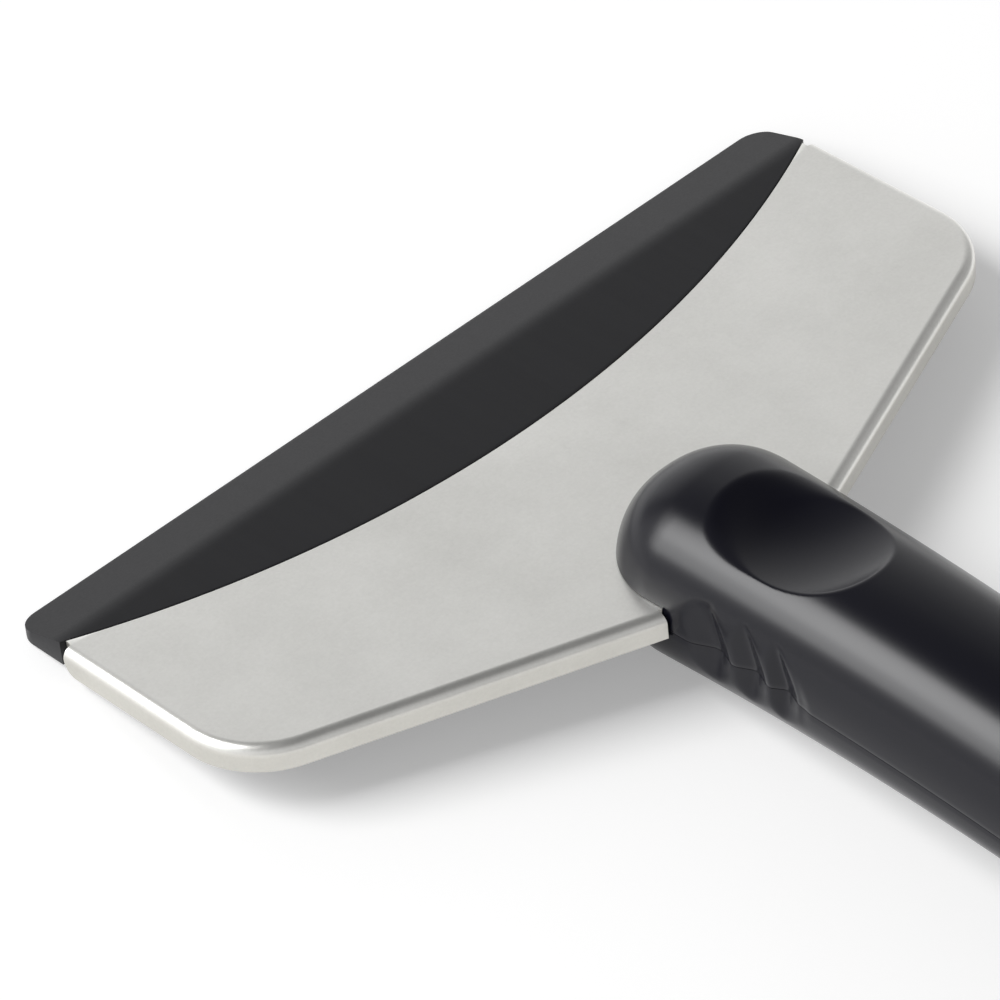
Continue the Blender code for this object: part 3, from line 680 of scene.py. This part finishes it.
def node(tree, kind, **values):
    """A new node whose sockets and settings are given by name."""
    made = tree.nodes.new(kind)
    for key, value in values.items():
        if key in made.inputs:
            made.inputs[key].default_value = value
        else:
            setattr(made, key, value)
    return made


def coordinates(tree, scale=(1.0, 1.0, 1.0)):
    """Object coordinates stretched by a scale for each axis."""
    source = node(tree, "ShaderNodeTexCoord")
    mapping = node(tree, "ShaderNodeMapping", Scale=scale)
    tree.links.new(source.outputs["Object"], mapping.inputs["Vector"])
    return mapping.outputs["Vector"]


def noise(tree, vector, scale, detail, roughness):
    """A noise from 0 to 1."""
    made = node(tree, "ShaderNodeTexNoise", Scale=scale, Detail=detail, Roughness=roughness)
    tree.links.new(vector, made.inputs["Vector"])
    return made.outputs["Fac"]


def spread(tree, value, low, high):
    """A value from 0 to 1 mapped to low to high."""
    made = node(tree, "ShaderNodeMapRange")
    made.inputs["To Min"].default_value = low
    made.inputs["To Max"].default_value = high
    tree.links.new(value, made.inputs["Value"])
    return made.outputs["Result"]


def ramp(tree, value, stops):
    """A colour that follows a value through (position, colour) stops."""
    made = node(tree, "ShaderNodeValToRGB")
    elements = made.color_ramp.elements
    while len(elements) < len(stops):
        elements.new(0.5)
    for element, (position, colour) in zip(elements, stops):
        element.position = position
        element.color = (*colour, 1.0)
    tree.links.new(value, made.inputs["Fac"])
    return made.outputs["Color"]


def multiplied(tree, first, second):
    """The product of two colours."""
    product = node(tree, "ShaderNodeMix", data_type="RGBA", blend_type="MULTIPLY")
    product.inputs["Factor"].default_value = 1.0
    sockets = [socket for socket in product.inputs if socket.type == "RGBA"]
    tree.links.new(first, sockets[0])
    tree.links.new(second, sockets[1])
    return [socket for socket in product.outputs if socket.type == "RGBA"][0]


def bump(tree, shader, height, strength, distance):
    """Lets a height from 0 to 1 shape the shader's normal."""
    made = node(tree, "ShaderNodeBump", Strength=strength, Distance=distance)
    tree.links.new(height, made.inputs["Height"])
    tree.links.new(made.outputs["Normal"], shader.inputs["Normal"])


def brushed_steel():
    """Satin stainless sheet: fine brushing, speckle and tone patches, and painted shade on the faces
    that turn sideways, such as the rim's flange.
    """
    made, tree, shader = new_material("brushed_stainless")
    shader.inputs["Metallic"].default_value = STEEL_METALLIC
    lines = noise(tree, coordinates(tree, (60.0, 2200.0, 2200.0)), scale=1.0, detail=4.0, roughness=0.6)
    speckle = noise(tree, coordinates(tree), scale=2600.0, detail=2.0, roughness=0.7)
    patches = noise(tree, coordinates(tree), scale=60.0, detail=5.0, roughness=0.62)
    mixed = node(tree, "ShaderNodeMath", operation="MULTIPLY_ADD")
    tree.links.new(speckle, mixed.inputs[0])
    mixed.inputs[1].default_value = 0.5
    tree.links.new(patches, mixed.inputs[2])
    tone = ramp(tree, mixed.outputs["Value"], STEEL_TONES)
    source = node(tree, "ShaderNodeTexCoord")
    facing = node(tree, "ShaderNodeSeparateXYZ")
    tree.links.new(source.outputs["Normal"], facing.inputs["Vector"])
    # Painted shade: the base colour darkens where the face turns sideways, on the rim's bend and
    # flange.
    rim = ramp(tree, facing.outputs["Z"], SIDEWAYS_SHADE_TONES)
    tree.links.new(multiplied(tree, tone, rim), shader.inputs["Base Color"])
    tree.links.new(spread(tree, lines, *STEEL_ROUGHNESS), shader.inputs["Roughness"])
    bump(tree, shader, mixed.outputs["Value"], strength=0.1, distance=STEEL_GRAIN_HEIGHT)
    return made


def blade_plastic():
    """Smooth matt black plastic with faint drag lines towards the edge."""
    made, tree, shader = new_material("black_blade_plastic")
    shader.inputs["Specular IOR Level"].default_value = BLADE_GLOSS
    flow = noise(tree, coordinates(tree, (700.0, 30.0, 30.0)), scale=1.0, detail=3.0, roughness=0.5)
    grain = noise(tree, coordinates(tree), scale=3500.0, detail=2.0, roughness=0.6)
    tree.links.new(ramp(tree, flow, BLADE_TONES), shader.inputs["Base Color"])
    tree.links.new(spread(tree, grain, *BLADE_ROUGHNESS), shader.inputs["Roughness"])
    bump(tree, shader, grain, strength=0.08, distance=GRAIN_HEIGHT)
    return made


def handle_plastic():
    """Satin black moulded plastic: very fine eroded grain and a slight flow in its gloss."""
    made, tree, shader = new_material("black_handle_plastic")
    shader.inputs["Specular IOR Level"].default_value = HANDLE_GLOSS
    grain = noise(tree, coordinates(tree), scale=4200.0, detail=3.0, roughness=0.6)
    flow = noise(tree, coordinates(tree, (90.0, 14.0, 60.0)), scale=1.0, detail=2.0, roughness=0.5)
    tree.links.new(ramp(tree, flow, HANDLE_TONES), shader.inputs["Base Color"])
    tree.links.new(spread(tree, flow, *HANDLE_ROUGHNESS), shader.inputs["Roughness"])
    bump(tree, shader, grain, strength=0.06, distance=GRAIN_HEIGHT)
    return made


def screw_steel():
    """Zinc plated steel with a mottled grain."""
    made, tree, shader = new_material("zinc_screw_steel")
    shader.inputs["Metallic"].default_value = 1.0
    patches = noise(tree, coordinates(tree), scale=900.0, detail=3.0, roughness=0.6)
    tree.links.new(ramp(tree, patches, SCREW_TONES), shader.inputs["Base Color"])
    tree.links.new(spread(tree, patches, *SCREW_ROUGHNESS), shader.inputs["Roughness"])
    bump(tree, shader, patches, strength=0.15, distance=GRAIN_HEIGHT)
    return made


# ---------------------------------------------------------------- stage

def floor():
    """A plain pale floor that glows a little, so that it stays white next to the object."""
    bm = bmesh.new()
    bmesh.ops.create_grid(bm, x_segments=1, y_segments=1, size=FLOOR_HALF_SIZE)
    made = helper(mesh_of(bm, "floor"), "floor")
    mat, tree, shader = new_material("floor_white")
    shader.inputs["Base Color"].default_value = (FLOOR_TONE, FLOOR_TONE, FLOOR_TONE, 1.0)
    shader.inputs["Roughness"].default_value = 0.9
    shader.inputs["Specular IOR Level"].default_value = 0.0
    shader.inputs["Emission Color"].default_value = (1.0, 1.0, 1.0, 1.0)
    shader.inputs["Emission Strength"].default_value = FLOOR_GLOW
    made.data.materials.append(mat)


def soft_box(number, bearing, elevation, half_across, half_up, radiance):
    """A large rectangular light far over the left end of the blade, given by the angles it fills."""
    angles = (bearing, elevation, half_across, half_up)
    bearing, elevation, half_across, half_up = (math.radians(a) for a in angles)
    data = bpy.data.lights.new(f"soft_box_{number}", "AREA")
    data.shape = "RECTANGLE"
    data.size = 2.0 * SOFT_BOX_DISTANCE * math.tan(half_across)
    data.size_y = 2.0 * SOFT_BOX_DISTANCE * math.tan(half_up)
    data.energy = radiance * math.pi * data.size * data.size_y
    level = math.cos(elevation)
    towards = Vector((level * math.cos(bearing), level * math.sin(bearing), math.sin(elevation)))
    turn = towards.to_track_quat("Z", "Y").to_matrix().to_4x4() @ Matrix.Rotation(SOFT_BOX_ROLL, 4, "Z")
    target = Vector((0.0, 2.0 * THUMB_Y, 0.0))
    made = bpy.data.objects.new(f"soft_box_{number}", data)
    bpy.context.scene.collection.objects.link(made)
    made.matrix_world = TOOL @ Matrix.Translation(target + towards * SOFT_BOX_DISTANCE) @ turn


def world():
    """A studio round the object: white walls that darken upwards, with a gap beside the soft boxes."""
    made = bpy.data.worlds.new("studio")
    bpy.context.scene.world = made
    made.use_nodes = True
    tree = made.node_tree
    source = node(tree, "ShaderNodeTexCoord")
    turned = node(tree, "ShaderNodeMapping", Rotation=TOOL.inverted().to_euler())
    tree.links.new(source.outputs["Generated"], turned.inputs["Vector"])
    split = node(tree, "ShaderNodeSeparateXYZ")
    tree.links.new(turned.outputs["Vector"], split.inputs["Vector"])
    heights = [(math.sin(math.radians(a)), (v, v, v)) for a, v in SKY]
    glow = ramp(tree, split.outputs["Z"], heights)
    bearing = node(tree, "ShaderNodeMath", operation="ARCTAN2")
    tree.links.new(split.outputs["Y"], bearing.inputs[0])
    tree.links.new(split.outputs["X"], bearing.inputs[1])
    share = node(tree, "ShaderNodeMapRange")
    tree.links.new(bearing.outputs["Value"], share.inputs["Value"])
    share.inputs["From Min"].default_value = -math.pi
    share.inputs["From Max"].default_value = math.pi
    walls = ramp(tree, share.outputs["Result"], [((a + 180.0) / 360.0, (v, v, v)) for a, v in WALLS])
    tree.links.new(multiplied(tree, glow, walls), tree.nodes["Background"].inputs["Color"])


def camera():
    """The viewpoint behind and to the left of the handle, with a long lens."""
    right = Vector((math.cos(CAMERA_AZIMUTH), math.sin(CAMERA_AZIMUTH), 0.0))
    level = Vector((math.sin(CAMERA_AZIMUTH), -math.cos(CAMERA_AZIMUTH), 0.0))
    back = level * math.cos(CAMERA_ELEVATION) + Vector((0.0, 0.0, math.sin(CAMERA_ELEVATION)))
    up = back.cross(right)
    turn = Matrix((right, up, back)).transposed() @ Matrix.Rotation(CAMERA_ROLL, 3, "Z")
    data = bpy.data.cameras.new("camera")
    data.sensor_width = CAMERA_SENSOR
    data.lens = CAMERA_LENS
    data.clip_start = CAMERA_NEAR
    made = bpy.data.objects.new("camera", data)
    bpy.context.scene.collection.objects.link(made)
    made.matrix_world = TOOL @ Matrix.Translation(CAMERA_PLACE) @ turn.to_4x4()
    bpy.context.scene.camera = made


# ---------------------------------------------------------------- build

piece("cover_sheet", cover_mesh(), brushed_steel(), ["steel_cover"])
piece("blade", blade_mesh(), blade_plastic(), ["blade_plate"])
black = handle_plastic()
top_shell = carved(shell_mesh(1), [("DIFFERENCE", head_slot())], "top_half")
piece("handle_top", top_shell, black, ["handle_top_shell"])
bottom_shell = carved(shell_mesh(-1), [("DIFFERENCE", head_slot()), *counterbores()], "bottom_half")
piece("handle_bottom", bottom_shell, black, ["handle_bottom_shell"])
zinc = screw_steel()
head_screws = ["head_screw_front", "head_screw_rear"]
handle_screws = ["handle_screw_front", "handle_screw_middle", "handle_screw_butt"]
screw_nodes = head_screws + handle_screws
for name, (place, seat) in zip(screw_nodes, screw_places()):
    piece(name + "_fine", screw_mesh(place, seat), zinc, [name])

floor()
for number, values in enumerate(SOFT_BOXES, 1):
    soft_box(number, *values)
world()
camera()
bpy.context.scene.view_settings.view_transform = "Standard"
